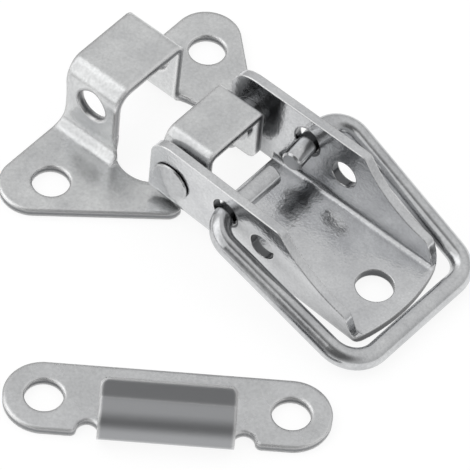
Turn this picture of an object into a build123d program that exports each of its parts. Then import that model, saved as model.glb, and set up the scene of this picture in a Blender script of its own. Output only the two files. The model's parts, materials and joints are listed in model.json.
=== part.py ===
# Over centre toggle latch: base strip, lever, two pivot rivets, wire bail and strike plate.
# Millimetres. The origin is midway between the base's two fixing holes, on the mounting plane.
# +X points from the base to the lever's tip, +Y to the lever's right cheek, +Z up.
from build123d import *

import os
from math import asin, cos, degrees, radians, sin, sqrt

os.makedirs("parts", exist_ok=True)

# ---- fits ----
free_gap = 0.3
nose_gap = 0.1
running_fit = 0.05
floor_gap = 0.02
cut_margin = 1.0

# ---- base strip ----
base_sheet = 1.2
fixing_spacing = 34.0
fixing_hole_r = 2.75
ear_back = 6.6
ear_end_r = 5.0
front_edge_offset = 5.35
front_edge_angle = 41.5
lobe_reach = 2.5
lobe_corner_r = 2.0
lobe_tip_r = 0.6
relief_width = 1.4
relief_corner_r = 1.2
foot_run = 0.5
tight_bend_r = 0.1

arch_half_width = 7.15
arch_right_splay = 0.4
arch_height = 12.9
arch_back = 6.8
arch_length = 9.7
arch_back_scoop = 0.65
edge_sweep_angle = 48.0
arch_bends = (3.3, 1.5)
arch_feet = (2.3, 1.8)
arch_hole_r = 2.58
arch_hole_x = -1.45
arch_hole_z = 8.2

slot_width = 8.3
slot_half_length = 8.4
slot_ends = (3.0, 1.3)

yoke_half_width = 6.15
yoke_height = 12.4
yoke_foot_length = 2.9
yoke_length = 7.95
yoke_bends = (2.0, 0.9)
yoke_feet = (1.1, 1.1)
yoke_wall_low = 2.8
yoke_wall_corner_r = 1.5
yoke_notch_r = 1.0

# ---- lever pivot ----
pivot_x = 15.5
pivot_z = 7.75
shoulder_r = 2.5
tail_r = 1.9
tail_head_r = 2.4
tail_head_height = 0.6
head_r = 3.1
head_gap = 0.1
head_rim = 0.3
head_edge = 0.15
head_dome = 0.25

# ---- lever, in its own frame: origin on the pivot, +X to the tip, +Z to the open side ----
lever_sheet = 1.4
lever_half_top = 9.85
lever_half_floor = 9.2
lever_taper = 0.015
taper_from = 10.0
lever_bend_r = 0.9
nose_front = 4.05
nose_corner_r = 3.1
window_front = 5.45
window_corner_r = 1.0
heel_end = 8.5
tip_reach = 35.7
tip_plan_r = 28.0
tip_corner_r = 1.3
cheek_top_setback = 15.95
sweep_middle_setback = 10.4
sweep_middle_z = 1.55
sweep_end_setback = 3.3
sweep_end_z = -1.0
sweep_corner_r = 1.2
cheek_end_r = 1.6
cheek_end_setback = 1.6
cheek_end_rise = 1.6
bail_hole_x = 9.9
bail_hole_z = 2.2
bail_hole_r = 2.2
pin_hole_r = 2.15
tip_hole_setback = 5.35
tip_hole_r = 2.8
closed_angle = 176.0

# ---- bail ----
wire_r = 1.6
seat_x = 0.25
seat_z = -0.38
bail_skew = 0.15
left_leg_pivot = 13.0
left_leg_tip = 13.7
right_leg_pivot = 15.7
right_leg_tip = 11.6
stub_bend_r = 3.7
left_loop_bend_r = 4.9
right_loop_bend_r = 3.9
left_stub_end = 0.6
right_stub_end = 3.9
right_stub_skew = 0.5
stub_chamfer = 0.25

# ---- strike ----
strike_sheet = 1.2
strike_spacing = 34.0
strike_hole_r = 2.75
strike_half_depth = 5.7
hook_half_width = 9.4
hook_wire_gap = 0.1
hook_centre = 4.45
hook_slope = 12.0
hook_leg = 1.9
lip_slope = 35.0
lip_length = 2.8
lip_corner_r = 1.2
notch_r = 1.5
notch_top = 3.6
notch_corner_r = 0.9
strike_x = 37.9
strike_y = -35.3
strike_turn = 37.9

# ---- sizes that follow ----
hole_y = fixing_spacing / 2
slot_back = arch_length - arch_back
slot_front = slot_back + slot_width
slot_middle = slot_back + slot_width / 2
yoke_foot_end = slot_front + yoke_foot_length
yoke_front = slot_front + yoke_length
lobe_front = yoke_foot_end + lobe_reach

swing_low = pivot_z - base_sheet - free_gap
swing_high = pivot_z - base_sheet - nose_gap
lever_floor = -swing_low
lever_top = swing_high
lever_roof = lever_floor + lever_sheet
lever_tilt = degrees(asin((pivot_z - swing_low - floor_gap) / tip_reach))
cheek_lean = (lever_half_top - lever_half_floor) / (lever_top - lever_floor)
fold = radians(closed_angle)
pin_hole_x = (arch_hole_x - pivot_x) * cos(fold) + (arch_hole_z - pivot_z) * sin(fold)
pin_hole_z = (arch_hole_z - pivot_z) * cos(fold) - (arch_hole_x - pivot_x) * sin(fold)

# the bail's ends rest against the lower tip side of their holes
tilt = radians(lever_tilt)
stub_x = bail_hole_x + seat_x
stub_z = bail_hole_z + seat_z
bail_x = pivot_x + stub_x * cos(tilt) + stub_z * sin(tilt)
bail_z = pivot_z - stub_x * sin(tilt) + stub_z * cos(tilt)
tip_swing = sqrt((tip_reach - stub_x) ** 2 + (stub_z - lever_floor) ** 2)
bail_reach = tip_swing + nose_gap + wire_r + bail_skew
bail_tilt = degrees(asin((bail_z - wire_r - floor_gap) / bail_reach))


def rounded(face, corners, radius):
    """Round the corners of a flat face that lie nearest the given points."""
    for x, y in corners:
        nearest = face.vertices().sort_by(lambda v: (v.X - x) ** 2 + (v.Y - y) ** 2)[0]
        face = fillet(nearest, radius)
    return face


def side_prism(face):
    """Run a face drawn in X and Z right across the latch, along Y."""
    return extrude(Plane.XZ * face, amount=fixing_spacing, both=True)


def cross_hole(x, z, radius):
    """A hole bored right across the latch, along Y."""
    return Pos(x, 0, z) * Rot(90, 0, 0) * Cylinder(radius, 2 * fixing_spacing)


# ------------------------------------------------------------------ base
def hat(half_width, right_splay, height, bends, feet, back, front):
    """One raised arch of the strip along X, with (left, right) outer bend radii and foot radii.

    The right wall leans out by its splay towards the roof.
    """
    inner = half_width - base_sheet
    reach = half_width + max(feet) + foot_run
    roof = height - base_sheet
    face = make_face(Polyline(
        (-reach, 0), (-inner, 0), (-inner, roof), (inner + right_splay, roof), (inner, 0), (reach, 0),
        (reach, base_sheet), (half_width, base_sheet), (half_width + right_splay, height),
        (-half_width, height), (-half_width, base_sheet), (-reach, base_sheet), close=True))
    for side, splay, bend_r, foot_r in zip((-1, 1), (0, right_splay), bends, feet):
        face = rounded(face, [(side * inner, 0)], foot_r + base_sheet)
        face = rounded(face, [(side * half_width, base_sheet)], foot_r)
        face = rounded(face, [(side * (inner + splay), roof)], max(bend_r - base_sheet, tight_bend_r))
        face = rounded(face, [(side * (half_width + splay), height)], bend_r)
    return Pos(back, 0, 0) * extrude(Plane.YZ * face, amount=front - back)


def make_flange():
    """The flat of the strip: round ears, slanted front edges and short lobes beside the yoke."""
    lean = radians(90 - front_edge_angle)
    foot = (front_edge_offset * cos(lean), hole_y + front_edge_offset * sin(lean))
    ear_end = (-ear_back, foot[1] + (foot[0] + ear_back) / sin(lean) * cos(lean))
    lobe = (lobe_front, foot[1] - (lobe_front - foot[0]) / sin(lean) * cos(lean))
    relief_y = yoke_half_width + relief_width
    face = make_face([
        Line((-ear_back, 0), ear_end),
        Line(ear_end, lobe),
        Line(lobe, (lobe_front, relief_y)),
        Line((lobe_front, relief_y), (yoke_foot_end, relief_y)),
        Line((yoke_foot_end, relief_y), (yoke_foot_end, 0)),
        Line((yoke_foot_end, 0), (-ear_back, 0)),
    ])
    face = rounded(face, [ear_end], ear_end_r)
    face = rounded(face, [lobe], lobe_corner_r)
    face = rounded(face, [(lobe_front, relief_y)], lobe_tip_r)
    face = rounded(face, [(yoke_foot_end, relief_y)], relief_corner_r)
    half = extrude(face, amount=base_sheet)
    return half + mirror(half, Plane.XZ)


def make_base():
    # the flange stops where each arch's own feet take over
    flange = make_flange()
    arch_reach = arch_half_width + max(arch_feet) + foot_run
    yoke_reach = yoke_half_width + max(yoke_feet) + foot_run
    arch_room = Box(slot_middle + arch_back, 2 * arch_reach, 4 * base_sheet)
    yoke_room = Box(yoke_foot_end - slot_middle, 2 * yoke_reach, 4 * base_sheet)
    flange -= Pos((slot_middle - arch_back) / 2, 0) * arch_room
    flange -= Pos((slot_middle + yoke_foot_end) / 2, 0) * yoke_room

    arch = hat(
        arch_half_width, arch_right_splay, arch_height, arch_bends, arch_feet, -arch_back, slot_middle
    )
    yoke = hat(yoke_half_width, 0, yoke_height, yoke_bends, yoke_feet, slot_middle, yoke_front)

    # the arch's back edge is in line with the ears, and drawn in between its feet and its roof
    behind = -arch_back - cut_margin
    scoop = (arch_back_scoop - arch_back, arch_height / 2)
    arch -= side_prism(make_face([
        Line((-ear_back, -cut_margin), (-ear_back, base_sheet)),
        ThreePointArc((-ear_back, base_sheet), scoop, (-arch_back, arch_height)),
        Line((-arch_back, arch_height), (behind, arch_height)),
        Line((behind, arch_height), (behind, -cut_margin)),
        Line((behind, -cut_margin), (-ear_back, -cut_margin)),
    ]))

    # the yoke's walls run on past their feet, clear of the flange, with a round lower corner
    low = (yoke_front - yoke_foot_end, yoke_wall_low)
    below = Pos(yoke_foot_end + low[0], yoke_wall_low / 2) * Rectangle(2 * low[0], yoke_wall_low)
    yoke -= side_prism(rounded(below, [(yoke_foot_end, yoke_wall_low)], yoke_notch_r))
    nib = Pos(yoke_front, yoke_wall_low) * Rectangle(2 * yoke_wall_corner_r, 2 * yoke_wall_corner_r)
    nib_centre = Pos(yoke_front - yoke_wall_corner_r, yoke_wall_low + yoke_wall_corner_r)
    nib -= nib_centre * Circle(yoke_wall_corner_r)
    yoke -= side_prism(nib)

    # above the flange the wall edges beside the slot are upright, and sweep out into it
    sweep_r = slot_width / 2
    sweep_top = base_sheet + sweep_r * sin(radians(edge_sweep_angle))
    sweep_low = slot_middle - sweep_r * cos(radians(edge_sweep_angle))
    room_top = arch_height + cut_margin
    back_sweep = make_face([
        Line((slot_back, room_top), (slot_back, sweep_top)),
        RadiusArc((slot_back, sweep_top), (sweep_low, base_sheet), sweep_r),
        Line((sweep_low, base_sheet), (slot_middle, base_sheet)),
        Line((slot_middle, base_sheet), (slot_middle, room_top)),
        Line((slot_middle, room_top), (slot_back, room_top)),
    ])
    arch -= side_prism(back_sweep)
    yoke -= side_prism(Pos(2 * slot_middle, 0) * mirror(back_sweep, Plane.YZ))
    base = flange + arch + yoke

    # oblong slot, its round ends drawn in where they run into the arch's feet
    left_end = slot_ends[0] - slot_half_length
    right_end = slot_half_length - slot_ends[1]
    slot = Pos(0, (left_end + right_end) / 2) * Rectangle(slot_width, right_end - left_end)
    slot += Pos(0, left_end) * Ellipse(slot_width / 2, slot_ends[0])
    slot += Pos(0, right_end) * Ellipse(slot_width / 2, slot_ends[1])
    base -= Pos(slot_middle, 0, -cut_margin) * extrude(slot, amount=room_top)

    for side in (-1, 1):
        base -= Pos(0, side * hole_y) * Cylinder(fixing_hole_r, 4 * base_sheet)
    base -= cross_hole(arch_hole_x, arch_hole_z, arch_hole_r)
    base -= cross_hole(pivot_x, pivot_z, tail_r)
    return base


# ------------------------------------------------------------------ lever
def cheek(x, z):
    """Outer half width of the lever: its cheeks lean out upwards and spread towards the tip."""
    return lever_half_floor + cheek_lean * (z - lever_floor) + lever_taper * (x - taper_from)


def between_cheeks(inset, low):
    """The room above a floor and between the cheeks' planes, moved in across the lever by an inset."""
    reach = tip_reach + swing_high
    block = Pos(0, 0, low + reach / 2) * Box(2 * reach, 4 * lever_half_top, reach)
    for side in (-1, 1):
        foot = (taper_from, side * (lever_half_floor - inset), lever_floor)
        plane = Plane(origin=foot, z_dir=(-lever_taper, side, -cheek_lean))
        block = split(block, bisect_by=plane, keep=Keep.BOTTOM)
    return block


def channel(inset, low, bend_r):
    """The same room with its two lower edges bent round."""
    block = between_cheeks(inset, low)
    floor_edges = block.faces().sort_by(Axis.Z)[0].edges()
    return fillet(floor_edges.filter_by(lambda edge: edge.length > tip_reach), bend_r)


def heel():
    """Square lower edges under the nose, fading into the lever's bends."""
    bend_r = lever_bend_r + lever_sheet
    setback = bend_r * (1 - sqrt(0.5))
    reach = heel_end + swing_high
    block = between_cheeks(0, lever_floor)
    block &= Pos(heel_end - reach / 2, 0) * Box(reach, 4 * lever_half_top, 4 * swing_high)
    for side in (-1, 1):
        start = Vector(window_front, side * cheek(window_front, lever_floor), lever_floor)
        end_y = cheek(heel_end, lever_floor) - setback
        run = Vector(heel_end, side * end_y, lever_floor + setback) - start
        facet = Plane(origin=start, z_dir=run.cross(Vector(0, side, 1)) * side)
        block = split(block, bisect_by=facet, keep=Keep.BOTTOM)
    return block


def make_side_view():
    """Side view: the nose keeps inside its swing circles, and the edge sweeps down to the tongue."""
    nose_low = (-nose_front, -sqrt(swing_low**2 - nose_front**2))
    nose_high = (-nose_front, sqrt(swing_high**2 - nose_front**2))
    arc_low = (-swing_low * sin(fold / 8), -swing_low * cos(fold / 8))
    arc_high = (-swing_high * sin(fold / 8), swing_high * cos(fold / 8))
    top_end = (tip_reach - cheek_top_setback, lever_top)
    middle = (tip_reach - sweep_middle_setback, sweep_middle_z)
    end = (tip_reach - sweep_end_setback, sweep_end_z)
    tongue = (tip_reach - cheek_end_setback, lever_floor + cheek_end_rise)
    far_x = tip_reach + cut_margin
    side = make_face([
        ThreePointArc(nose_low, arc_low, (0, lever_floor)),
        Line((0, lever_floor), (far_x, lever_floor)),
        Line((far_x, lever_floor), (far_x, tongue[1])),
        Line((far_x, tongue[1]), tongue),
        Line(tongue, end),
        ThreePointArc(end, middle, top_end),
        Line(top_end, (0, lever_top)),
        ThreePointArc((0, lever_top), arc_high, nose_high),
        Line(nose_high, nose_low),
    ])
    side = rounded(side, [nose_high], nose_corner_r)
    side = rounded(side, [top_end], sweep_corner_r)
    return rounded(side, [end], cheek_end_r)


def make_lever():
    # plan view: the tip is a wide arc between two small round corners
    plan = between_cheeks(0, lever_floor)
    plan &= Pos(tip_reach - tip_plan_r, 0) * Cylinder(tip_plan_r, 2 * fixing_spacing)
    corners = plan.edges().filter_by(lambda edge: edge.center().X > tip_reach - tip_hole_setback)
    plan = fillet(corners.filter_by(lambda edge: abs(edge.center().Y) > lever_sheet), tip_corner_r)

    lever = (channel(0, lever_floor, lever_bend_r + lever_sheet) + heel()) & plan
    lever &= side_prism(make_side_view())
    lever -= channel(lever_sheet, lever_roof, lever_bend_r)

    # the floor stops short of the pivots, with rounded corners where it joins the cheeks
    window_back = -swing_high
    window = between_cheeks(lever_sheet, lever_floor - lever_sheet)
    window_room = Box(window_front - window_back, 4 * lever_half_top, 4 * swing_high)
    window &= Pos((window_front + window_back) / 2, 0) * window_room
    uprights = window.edges().filter_by(lambda edge: edge.center().X > window_front - window_corner_r)
    corners = uprights.filter_by(lambda edge: abs(edge.center().Y) > lever_sheet)
    window = fillet(corners, window_corner_r)
    lever -= window

    lever -= cross_hole(0, 0, shoulder_r + running_fit)
    lever -= cross_hole(bail_hole_x, bail_hole_z, bail_hole_r)
    lever -= cross_hole(pin_hole_x, pin_hole_z, pin_hole_r)
    lever -= Pos(tip_reach - tip_hole_setback, 0, lever_floor) * Cylinder(tip_hole_r, 4 * lever_sheet)
    return Pos(pivot_x, 0, pivot_z) * Rot(0, lever_tilt, 0) * lever


# ------------------------------------------------------------------ pivot rivets
def make_rivet(side):
    """Shoulder rivet: low domed head outside the cheek, tail closed up inside the yoke."""
    wall_in = yoke_half_width - base_sheet
    tail_end = wall_in - tail_head_height
    head_under = cheek(head_r, head_r) + head_gap
    edge = head_under + head_rim
    dome_end = head_r - head_edge
    dome_r = (dome_end**2 + head_dome**2) / (2 * head_dome)
    dome_mid = (dome_end / 2, edge + head_dome - dome_r + sqrt(dome_r**2 - dome_end**2 / 4))
    half = make_face([
        Line((0, tail_end), (tail_head_r, tail_end)),
        Line((tail_head_r, tail_end), (tail_head_r, wall_in)),
        Line((tail_head_r, wall_in), (tail_r, wall_in)),
        Line((tail_r, wall_in), (tail_r, yoke_half_width)),
        Line((tail_r, yoke_half_width), (shoulder_r, yoke_half_width)),
        Line((shoulder_r, yoke_half_width), (shoulder_r, head_under)),
        Line((shoulder_r, head_under), (head_r, head_under)),
        Line((head_r, head_under), (head_r, edge - head_edge)),
        Line((head_r, edge - head_edge), (dome_end, edge)),
        ThreePointArc((dome_end, edge), dome_mid, (0, edge + head_dome)),
        Line((0, edge + head_dome), (0, tail_end)),
    ])
    turn = 0 if side > 0 else 180
    return Pos(pivot_x, 0, pivot_z) * Rot(0, 0, turn) * revolve(half, Axis.Y)


# ------------------------------------------------------------------ bail
def make_bail():
    """Open wire loop in one plane, a little out of square, its ends turned in through the cheeks."""
    middle = cheek(stub_x, stub_z) - lever_sheet / 2
    skew = right_stub_skew / (middle - right_stub_end)
    points = [
        (right_stub_skew, right_stub_end),
        ((middle - right_leg_pivot) * skew, right_leg_pivot),
        (bail_reach + bail_skew, right_leg_tip),
        (bail_reach - bail_skew, -left_leg_tip),
        (0, -left_leg_pivot),
        (0, left_stub_end),
    ]
    radii = [stub_bend_r, right_loop_bend_r, left_loop_bend_r, stub_bend_r]
    path = FilletPolyline(*points, radius=radii)
    loop = sweep(Plane(origin=path @ 0, z_dir=path % 0) * Circle(wire_r), path=path)
    loop = chamfer(loop.faces().filter_by(GeomType.PLANE).edges(), stub_chamfer)
    return Pos(bail_x, 0, bail_z) * Rot(0, bail_tilt, 0) * loop


# ------------------------------------------------------------------ strike
def make_strike_plate():
    """Flat plate with round ears and a relief notch at each end of the hook."""
    hole_x = strike_spacing / 2
    depth = strike_half_depth
    notch_y = notch_top + notch_r
    notch_x = hook_half_width + sqrt(notch_r**2 - (notch_y - hook_centre) ** 2)
    corner_y = depth - notch_corner_r
    reach = notch_r + notch_corner_r
    corner_x = notch_x + sqrt(reach**2 - (notch_y - corner_y) ** 2)
    share = notch_r / reach
    meet = (notch_x + (corner_x - notch_x) * share, -notch_y - (corner_y - notch_y) * share)
    outline = make_face([
        Line((0, depth), (hole_x, depth)),
        ThreePointArc((hole_x, depth), (hole_x + depth, 0), (hole_x, -depth)),
        Line((hole_x, -depth), (corner_x, -depth)),
        RadiusArc((corner_x, -depth), meet, notch_corner_r),
        ThreePointArc(meet, (notch_x, -notch_top), (hook_half_width, -hook_centre)),
        Line((hook_half_width, -hook_centre), (0, -hook_centre)),
        Line((0, -hook_centre), (0, depth)),
    ])
    half = extrude(outline - Pos(hole_x, 0) * Circle(strike_hole_r), amount=strike_sheet)
    return half + mirror(half, Plane.YZ)


def make_hook():
    """The tab turned up and back over the plate, with a lip flared up beyond a crease."""
    inner_r = wire_r + hook_wire_gap
    outer_r = inner_r + strike_sheet
    centre = (-hook_centre, outer_r)

    def around(radius, angle):
        return (centre[0] + radius * cos(radians(angle)), centre[1] + radius * sin(radians(angle)))

    def ahead(point, angle, length):
        return (point[0] + length * cos(radians(angle)), point[1] + length * sin(radians(angle)))

    end_angle = 90 + hook_slope
    mid_angle = (270 + end_angle) / 2
    bend = lip_slope - hook_slope
    crease = ahead(around(outer_r, end_angle), hook_slope, hook_leg)
    lip_top = ahead(crease, lip_slope, lip_length)
    lip_under = ahead(lip_top, lip_slope - 90, strike_sheet)
    under = ahead(crease, hook_slope + bend / 2 - 90, strike_sheet / cos(radians(bend / 2)))
    section = make_face([
        Line((centre[0], strike_sheet), (centre[0], 0)),
        ThreePointArc((centre[0], 0), around(outer_r, mid_angle), around(outer_r, end_angle)),
        Line(around(outer_r, end_angle), crease),
        Line(crease, lip_top),
        Line(lip_top, lip_under),
        Line(lip_under, under),
        Line(under, around(inner_r, end_angle)),
        ThreePointArc(around(inner_r, end_angle), around(inner_r, mid_angle), (centre[0], strike_sheet)),
    ])
    hook = extrude(Plane.YZ * section, amount=hook_half_width, both=True)
    for side in (-1, 1):
        lip_middle = ((lip_top[0] + lip_under[0]) / 2, (lip_top[1] + lip_under[1]) / 2)
        spot = Vector(side * hook_half_width, *lip_middle)
        corner = hook.edges().sort_by(lambda edge: (edge.center() - spot).length)[0]
        hook = fillet(corner, lip_corner_r)
    return hook


def make_strike():
    strike = make_strike_plate() + make_hook()
    return Pos(strike_x, strike_y, 0) * Rot(0, 0, strike_turn) * strike


pieces = {
    "base": make_base(),
    "lever": make_lever(),
    "rivet_left": make_rivet(-1),
    "rivet_right": make_rivet(1),
    "bail": make_bail(),
    "strike": make_strike(),
}
for name, piece in pieces.items():
    export_step(piece, f"parts/{name}.step")
    print(name, round(piece.volume, 1), "mm3")
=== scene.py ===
import json
from math import cos, radians, sin

import bpy
from mathutils import Matrix, Vector

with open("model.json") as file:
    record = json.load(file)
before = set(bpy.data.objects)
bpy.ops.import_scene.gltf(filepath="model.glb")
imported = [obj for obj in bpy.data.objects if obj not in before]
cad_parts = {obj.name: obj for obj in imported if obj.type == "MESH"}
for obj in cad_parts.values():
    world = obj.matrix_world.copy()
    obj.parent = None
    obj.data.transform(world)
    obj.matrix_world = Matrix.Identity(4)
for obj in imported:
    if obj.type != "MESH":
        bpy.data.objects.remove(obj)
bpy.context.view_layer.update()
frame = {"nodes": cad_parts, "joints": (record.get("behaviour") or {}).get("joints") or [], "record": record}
print("frame loaded")

mm = 0.001
mounts = {mount["name"]: mount for mount in frame["record"]["mounts"]}
joints = {joint["name"]: joint for joint in frame["joints"]}


def hexColour(text):
    # sRGB hex to the linear values that shaders use
    channels = []
    for start in (0, 2, 4):
        value = int(text[start:start + 2], 16) / 255
        channels.append(value / 12.92 if value <= 0.04045 else ((value + 0.055) / 1.055) ** 2.4)
    return (*channels, 1.0)


def grey(level):
    return (level, level, level, 1.0)


def addNode(tree, kind, settings=None, links=None):
    # one node, with its properties and input values set and its inputs linked
    node = tree.nodes.new(kind)
    for key, value in (settings or {}).items():
        if isinstance(key, int) or key in node.inputs:
            node.inputs[key].default_value = value
        else:
            setattr(node, key, value)
    for key, socket in (links or {}).items():
        tree.links.new(socket, node.inputs[key])
    return node


def newMaterial(name):
    material = bpy.data.materials.new(name)
    material.use_nodes = True
    material.node_tree.nodes.clear()
    return material, material.node_tree


def featureScale(size):
    # noise scale that gives features of about this size in millimetres
    return 1 / (size * mm)


# The round holes, each as a point on its axis, the axis and the radius in millimetres.
def mountBore(name):
    mount = mounts[name]
    return Vector(mount["pos_m"]), Vector(mount["axis"]), mount["dims"]["r_mm"]


def fixingBores():
    pattern = mounts["base_holes"]
    middle, axis = Vector(pattern["pos_m"]), Vector(pattern["axis"])
    halfway = Vector((0, pattern["dims"]["spacing_y_mm"] * mm / 2, 0))
    return [(middle + side * halfway, axis, pattern["dims"]["hole_r_mm"]) for side in (1, -1)]


def bailBore(radius):
    hinge = joints["bail_hinge"]
    return Vector(hinge["pos_m"]), Vector(hinge["axis"]), radius


def pinBore(radius):
    # the closed lever's side holes meet the arch's lock hole, so at rest they are that hole swung open
    hinge = joints["lever_hinge"]
    pivot = Vector(hinge["pos_m"])
    centre, axis, _ = mountBore("lock_hole")
    opening = Matrix.Rotation(-radians(hinge["range_deg"][1]), 3, Vector(hinge["axis"]))
    return pivot + opening @ (centre - pivot), axis, radius


def heightMask(tree, coords, fromHeight, toHeight):
    # 0 below one height and 1 above another, in millimetres
    height = addNode(tree, "ShaderNodeSeparateXYZ", links={0: coords})
    mask = addNode(tree, "ShaderNodeMapRange", {"From Min": fromHeight * mm, "From Max": toHeight * mm},
                   {"Value": height.outputs["Z"]})
    return mask.outputs[0]


def boreMask(tree, coords, bores, rim):
    # 1 on the walls of the round holes and out to a thin rim around them
    mask = addNode(tree, "ShaderNodeValue").outputs[0]
    for centre, axis, radius in bores:
        offset = addNode(tree, "ShaderNodeVectorMath", {"operation": "SUBTRACT", 1: centre}, {0: coords})
        across = addNode(tree, "ShaderNodeVectorMath", {"operation": "CROSS_PRODUCT", 1: axis.normalized()},
                         {0: offset.outputs[0]})
        reach = addNode(tree, "ShaderNodeVectorMath", {"operation": "LENGTH"}, {0: across.outputs[0]})
        inside = addNode(tree, "ShaderNodeMath", {"operation": "LESS_THAN", 1: (radius + rim) * mm},
                         {0: reach.outputs["Value"]})
        mask = addNode(tree, "ShaderNodeMath", {"operation": "MAXIMUM"},
                       {0: mask, 1: inside.outputs[0]}).outputs[0]
    return mask


def cutMask(tree, coords, normal, cut):
    # 1 on a sheet's cut edges: upright faces below a height, and end faces, whose normal's X passes
    # endTurn. No normal passes 1, so a larger endTurn leaves the end faces out.
    height = addNode(tree, "ShaderNodeSeparateXYZ", links={0: coords})
    facing = addNode(tree, "ShaderNodeSeparateXYZ", links={0: normal})
    alongX = addNode(tree, "ShaderNodeMath", {"operation": "ABSOLUTE"}, {0: facing.outputs["X"]})
    endFace = addNode(tree, "ShaderNodeMath", {"operation": "GREATER_THAN", 1: cut["endTurn"]},
                      {0: alongX.outputs[0]})
    alongZ = addNode(tree, "ShaderNodeMath", {"operation": "ABSOLUTE"}, {0: facing.outputs["Z"]})
    upright = addNode(tree, "ShaderNodeMath", {"operation": "LESS_THAN", 1: cut["uprightTurn"]},
                      {0: alongZ.outputs[0]})
    low = addNode(tree, "ShaderNodeMath", {"operation": "LESS_THAN", 1: cut["below"] * mm},
                  {0: height.outputs["Z"]})
    rim = addNode(tree, "ShaderNodeMath", {"operation": "MULTIPLY"},
                  {0: upright.outputs[0], 1: low.outputs[0]})
    edges = addNode(tree, "ShaderNodeMath", {"operation": "MAXIMUM"},
                    {0: endFace.outputs[0], 1: rim.outputs[0]})
    return edges.outputs[0]


noises = {  # how busy each of the plate's three patterns is
    "cloud": {"Detail": 3.0, "Roughness": 0.55},
    "grain": {"Detail": 2.0, "Roughness": 0.6},
    "peel": {"Detail": 1.5, "Roughness": 0.5},
}
noiseSpan = {"From Min": 0.3, "From Max": 0.7}  # where nearly all of a noise's values lie
creaseSpan = {"From Min": 0.15, "From Max": 0.75}  # from a tight corner to an open face
turnSpan = {"From Min": 0.995, "From Max": 0.9}  # cosines, from a flat face to a turned corner


def zincPlate(name, look):
    # Zinc plate on steel: a soft grey mirror, cloudy where the plate is thicker, with a fine orange
    # peel, dull cut edges, painted shade on hole walls and in creases, and a painted highlight on corners.
    material, tree = newMaterial(name)
    coords = addNode(tree, "ShaderNodeTexCoord").outputs["Object"]
    normal = addNode(tree, "ShaderNodeNewGeometry").outputs["Normal"]
    noise = {}
    for kind, busy in noises.items():
        settings = {"Scale": featureScale(look[kind + "Size"]), **busy}
        noise[kind] = addNode(tree, "ShaderNodeTexNoise", settings, {"Vector": coords}).outputs[0]

    # the plate's own tone and roughness, patchy with the clouds and speckled with the grain
    patches = addNode(tree, "ShaderNodeMapRange", noiseSpan, {"Value": noise["cloud"]})
    plate = addNode(tree, "ShaderNodeMix", {"data_type": "RGBA", 6: hexColour(look["dark"]),
                                            7: hexColour(look["light"])}, {0: patches.outputs[0]})
    depths = {"To Min": 1 - look["grainDepth"], "To Max": 1 + look["grainDepth"]}
    speckle = addNode(tree, "ShaderNodeMapRange", {**noiseSpan, **depths}, {"Value": noise["grain"]})
    colour = addNode(tree, "ShaderNodeVectorMath", {"operation": "SCALE"},
                     {0: plate.outputs[2], "Scale": speckle.outputs[0]}).outputs[0]
    roughnesses = {"To Min": look["roughMin"], "To Max": look["roughMax"]}
    roughness = addNode(tree, "ShaderNodeMapRange", {**noiseSpan, **roughnesses},
                        {"Value": noise["cloud"]}).outputs[0]

    # areas with a tone and roughness of their own: a raised tab, painted darker as shade, then the cut edges
    areas = []
    if "tab" in look:
        areas.append((heightMask(tree, coords, *look["tab"]["rise"]), look["tab"]))
    if "cut" in look:
        areas.append((cutMask(tree, coords, normal, look["cut"]), look["cut"]))
    for mask, area in areas:
        colour = addNode(tree, "ShaderNodeMix", {"data_type": "RGBA", 7: hexColour(area["colour"])},
                         {0: mask, 6: colour}).outputs[2]
        roughness = addNode(tree, "ShaderNodeMix", {"data_type": "FLOAT", 3: area["roughness"]},
                            {0: mask, 2: roughness}).outputs[0]

    # painted shade on the hole walls and a thin rim around them, and in creases where faces stand close to
    # each other
    bored = boreMask(tree, coords, look["bores"], look["boreRim"])
    colour = addNode(tree, "ShaderNodeMix", {"data_type": "RGBA", 7: hexColour(look["boreShade"])},
                     {0: bored, 6: colour}).outputs[2]
    # painted shade: ambient occlusion darkens the colour where faces stand close
    hollow = addNode(tree, "ShaderNodeAmbientOcclusion",
                     {"samples": look["creaseSamples"], "Distance": look["creaseReach"] * mm})
    shade = addNode(tree, "ShaderNodeMapRange", {**creaseSpan, "To Min": 1 - look["creaseShadeDepth"]},
                    {"Value": hollow.outputs["AO"]})
    colour = addNode(tree, "ShaderNodeMix", {"data_type": "RGBA", "blend_type": "MULTIPLY", 0: 1.0},
                     {6: colour, 7: shade.outputs[0]}).outputs[2]

    # corners rounded in the shading, with a painted highlight on them
    rounded = addNode(tree, "ShaderNodeBevel",
                      {"samples": look["cornerSamples"], "Radius": look["cornerRadius"] * mm}).outputs[0]
    turn = addNode(tree, "ShaderNodeVectorMath", {"operation": "DOT_PRODUCT"}, {0: rounded, 1: normal})
    corner = addNode(tree, "ShaderNodeMapRange", turnSpan, {"Value": turn.outputs["Value"]})
    cornerHighlight = addNode(tree, "ShaderNodeMath", {"operation": "MULTIPLY", 1: look["cornerHighlight"]},
                     {0: corner.outputs[0]})
    colour = addNode(tree, "ShaderNodeMix", {"data_type": "RGBA", 7: hexColour(look["highlightColour"])},
                     {0: cornerHighlight.outputs[0], 6: colour}).outputs[2]

    # a low relief of peel and grain
    relief = addNode(tree, "ShaderNodeMath", {"operation": "MULTIPLY_ADD", 1: look["grainShare"]},
                     {0: noise["grain"], 2: noise["peel"]})
    bump = addNode(tree, "ShaderNodeBump",
                   {"Strength": look["bumpStrength"], "Distance": look["bumpDepth"] * mm},
                   {"Height": relief.outputs[0], "Normal": rounded})
    shader = addNode(tree, "ShaderNodeBsdfPrincipled", {"Metallic": 1.0},
                     {"Base Color": colour, "Roughness": roughness, "Normal": bump.outputs[0]})
    addNode(tree, "ShaderNodeOutputMaterial", links={"Surface": shader.outputs["BSDF"]})
    return material


def dress(names, finish):
    for name in names:
        for slot in frame["nodes"][name].material_slots:
            slot.material = finish
    print(*names, "finished")


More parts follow.
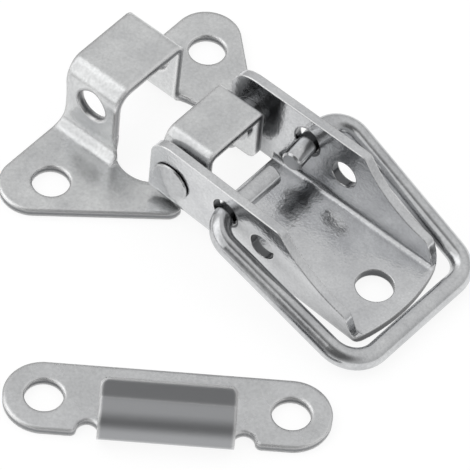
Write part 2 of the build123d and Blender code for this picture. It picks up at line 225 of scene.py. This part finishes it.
# What all the pieces share, with sizes in millimetres. The grain is coarser than real, to show.
plateLook = {
    "light": "dcdddd", "dark": "c6c7c8", "highlightColour": "f4f4f4",
    "roughMin": 0.19, "roughMax": 0.27,
    "cloudSize": 6.0, "grainSize": 0.45, "peelSize": 1.4, "grainDepth": 0.08,
    "grainShare": 0.25, "bumpStrength": 0.5, "bumpDepth": 0.03,
    "cornerRadius": 0.9, "cornerSamples": 6, "cornerHighlight": 0.9,
    "creaseReach": 2.5, "creaseShadeDepth": 0.55, "creaseSamples": 8,
    "boreShade": "6a6b6d", "boreRim": 0.08, "bores": [],
}

# Satin zinc on pressed strip: soft grey flats, a painted highlight on corners and bends, dull grey cut
# edges.
baseLook = dict(
    plateLook,
    bores=[*fixingBores(), mountBore("lock_hole")],
    cut={"colour": "808183", "roughness": 0.3, "endTurn": 0.5, "uprightTurn": 0.5, "below": 1.19},
)
dress(["base"], zincPlate("zincBase", baseLook))

# Bright zinc on the folded channel: sharper reflections, more peel, and deep painted shade in the folds.
leverLook = dict(
    baseLook,
    light="dadbdc", dark="c5c6c8", roughMin=0.12, roughMax=0.2,
    grainSize=0.35, grainShare=0.5, bumpStrength=0.8, bumpDepth=0.05,
    cornerRadius=0.3, creaseReach=5.0, creaseShadeDepth=0.7,
    bores=[mountBore("lever_tip_hole"), pinBore(2.15), bailBore(2.2)],
    cut=dict(baseLook["cut"], endTurn=2.0, below=1.25),
)
dress(["lever"], zincPlate("zincLever", leverLook))

# Satin zinc on a flat plate, a little greyer, with a duller rolled tab painted darker as shade on its tilted
# faces.
strikeLook = dict(
    baseLook,
    light="d4d5d6", dark="c6c7c8", roughMin=0.24, roughMax=0.32,
    bores=[mountBore("strike_hole_left"), mountBore("strike_hole_right")],
    cut=dict(baseLook["cut"], colour="87888a", endTurn=2.0),
    tab={"colour": "a6a7a9", "roughness": 0.45, "rise": (1.3, 2.4)},
)
dress(["strike"], zincPlate("zincStrike", strikeLook))

# Zinc on drawn wire: a smooth, clean mirror with no cut edges in sight.
wireLook = dict(plateLook, light="d4d5d6", dark="babbbd", roughMin=0.17, roughMax=0.25, cornerRadius=0.1)
dress(["bail"], zincPlate("zincWire", wireLook))

# Zinc on headed rivets: smooth like the wire, and a touch darker.
rivetLook = dict(plateLook, light="c8c9ca", dark="acadaf", roughMin=0.16, roughMax=0.26, cornerRadius=0.2)
dress(["rivet_left", "rivet_right"], zincPlate("zincRivet", rivetLook))

# Lengths in millimetres, angles in degrees. The nudge is in pixels, to the right and up.
view = {
    "target": (27.166, -8.831, 5.0),
    "distance": 670.687,
    "azimuth": -54.225,
    "elevation": 51.18,
    "roll": 6.078,
    "imageWidth": 470,
    "focalPixels": 4793.4,
    "sensor": 36.0,
    "nudge": (-0.5, 0.5),
    "clipStart": 10.0,
}


def makeCamera():
    azimuth, elevation, roll = (radians(view[key]) for key in ("azimuth", "elevation", "roll"))
    away = Vector((cos(elevation) * cos(azimuth), cos(elevation) * sin(azimuth), sin(elevation)))
    level = (-away).cross(Vector((0, 0, 1))).normalized()
    upright = level.cross(-away)
    right = level * cos(roll) + upright * sin(roll)
    up = upright * cos(roll) - level * sin(roll)
    pixel = view["distance"] / view["focalPixels"]
    across, rise = view["nudge"]
    place = Vector(view["target"]) + away * view["distance"] + (right * across + up * rise) * pixel
    data = bpy.data.cameras.new("camera")
    data.sensor_width = view["sensor"]
    data.lens = view["focalPixels"] * view["sensor"] / view["imageWidth"]
    data.clip_start = view["clipStart"] * mm
    camera = bpy.data.objects.new("camera", data)
    matrix = Matrix((right, up, away)).transposed().to_4x4()
    matrix.translation = place * mm
    camera.matrix_world = matrix
    bpy.context.collection.objects.link(camera)
    bpy.context.scene.camera = camera


makeCamera()
print("camera made")

# Grey levels of the studio that the metal mirrors, with one darker side, its angles in degrees.
studio = {
    "zenith": 0.78, "middle": 0.78, "middleHeight": 0.7, "horizon": 0.55,
    "gap": 0.14, "gapDirection": (0.22, -0.6, 0.77), "gapRim": 52.0, "gapCore": 28.0,
}


def makeWorld():
    world = bpy.data.worlds.new("studio")
    world.use_nodes = True
    bpy.context.scene.world = world
    tree = world.node_tree
    tree.nodes.clear()
    direction = addNode(tree, "ShaderNodeTexCoord").outputs["Generated"]
    parts = addNode(tree, "ShaderNodeSeparateXYZ", links={0: direction})
    ramp = addNode(tree, "ShaderNodeValToRGB", links={0: parts.outputs["Z"]})
    stops = ramp.color_ramp.elements
    stops[0].position, stops[0].color = 0.0, grey(studio["horizon"])
    stops[1].position, stops[1].color = 1.0, grey(studio["zenith"])
    stops.new(studio["middleHeight"]).color = grey(studio["middle"])
    gapMiddle = Vector(studio["gapDirection"]).normalized()
    towards = addNode(tree, "ShaderNodeVectorMath", {"operation": "DOT_PRODUCT", 1: gapMiddle},
                      {0: direction})
    gapSpan = {"From Min": cos(radians(studio["gapRim"])), "From Max": cos(radians(studio["gapCore"]))}
    inGap = addNode(tree, "ShaderNodeMapRange", gapSpan, {"Value": towards.outputs["Value"]})
    walls = addNode(tree, "ShaderNodeMix", {"data_type": "RGBA", 7: grey(studio["gap"])},
                    {0: inGap.outputs[0], 6: ramp.outputs[0]})
    seen = addNode(tree, "ShaderNodeLightPath")
    light = addNode(tree, "ShaderNodeBackground", links={"Color": walls.outputs[2]})
    white = addNode(tree, "ShaderNodeBackground", {"Color": grey(1.0)})
    both = addNode(tree, "ShaderNodeMixShader",
                   links={0: seen.outputs["Is Camera Ray"], 1: light.outputs[0], 2: white.outputs[0]})
    addNode(tree, "ShaderNodeOutputWorld", links={"Surface": both.outputs[0]})


makeWorld()
print("studio made")

# One broad softbox, with its direction from the part, lengths in millimetres and power in watts.
softbox = {"direction": (-0.5, -0.5, 0.71), "distance": 700.0, "size": (850.0, 950.0), "power": 2.0}


def makeSoftbox():
    data = bpy.data.lights.new("softbox", "AREA")
    data.shape = "RECTANGLE"
    data.size, data.size_y = (side * mm for side in softbox["size"])
    data.energy = softbox["power"]
    lamp = bpy.data.objects.new("softbox", data)
    towards = Vector(softbox["direction"]).normalized()
    lamp.location = (Vector(view["target"]) + towards * softbox["distance"]) * mm
    lamp.rotation_euler = towards.to_track_quat("Z", "Y").to_euler()
    bpy.context.collection.objects.link(lamp)


makeSoftbox()
print("softbox made")

# A white paper sweep that is nearly all glow to the eye and in the metal, and keeps some shadow.
floorLook = {"size": 3000.0, "colour": "f8f8f8", "shadowShare": 0.2, "glow": 1.1}


def makeFloor():
    bpy.ops.mesh.primitive_plane_add(size=floorLook["size"] * mm, location=(0, 0, 0))
    floor = bpy.context.object
    floor.name = "floor"
    material, tree = newMaterial("whiteSweep")
    paper = addNode(tree, "ShaderNodeBsdfDiffuse", {"Color": hexColour(floorLook["colour"])})
    glow = addNode(tree, "ShaderNodeEmission", {"Color": grey(1.0), "Strength": floorLook["glow"]})
    seen = addNode(tree, "ShaderNodeLightPath")
    mirrored = addNode(tree, "ShaderNodeMath", {"operation": "MAXIMUM"},
                       {0: seen.outputs["Is Camera Ray"], 1: seen.outputs["Is Glossy Ray"]})
    inSight = addNode(tree, "ShaderNodeMath", {"operation": "MAXIMUM"},
                      {0: mirrored.outputs[0], 1: seen.outputs["Is Transmission Ray"]})
    share = addNode(tree, "ShaderNodeMath", {"operation": "MULTIPLY", 1: 1 - floorLook["shadowShare"]},
                    {0: inSight.outputs[0]})
    mixed = addNode(tree, "ShaderNodeMixShader",
                    links={0: share.outputs[0], 1: paper.outputs[0], 2: glow.outputs[0]})
    addNode(tree, "ShaderNodeOutputMaterial", links={"Surface": mixed.outputs[0]})
    floor.data.materials.append(material)


makeFloor()
bpy.context.scene.view_settings.view_transform = "Standard"
print("floor made")
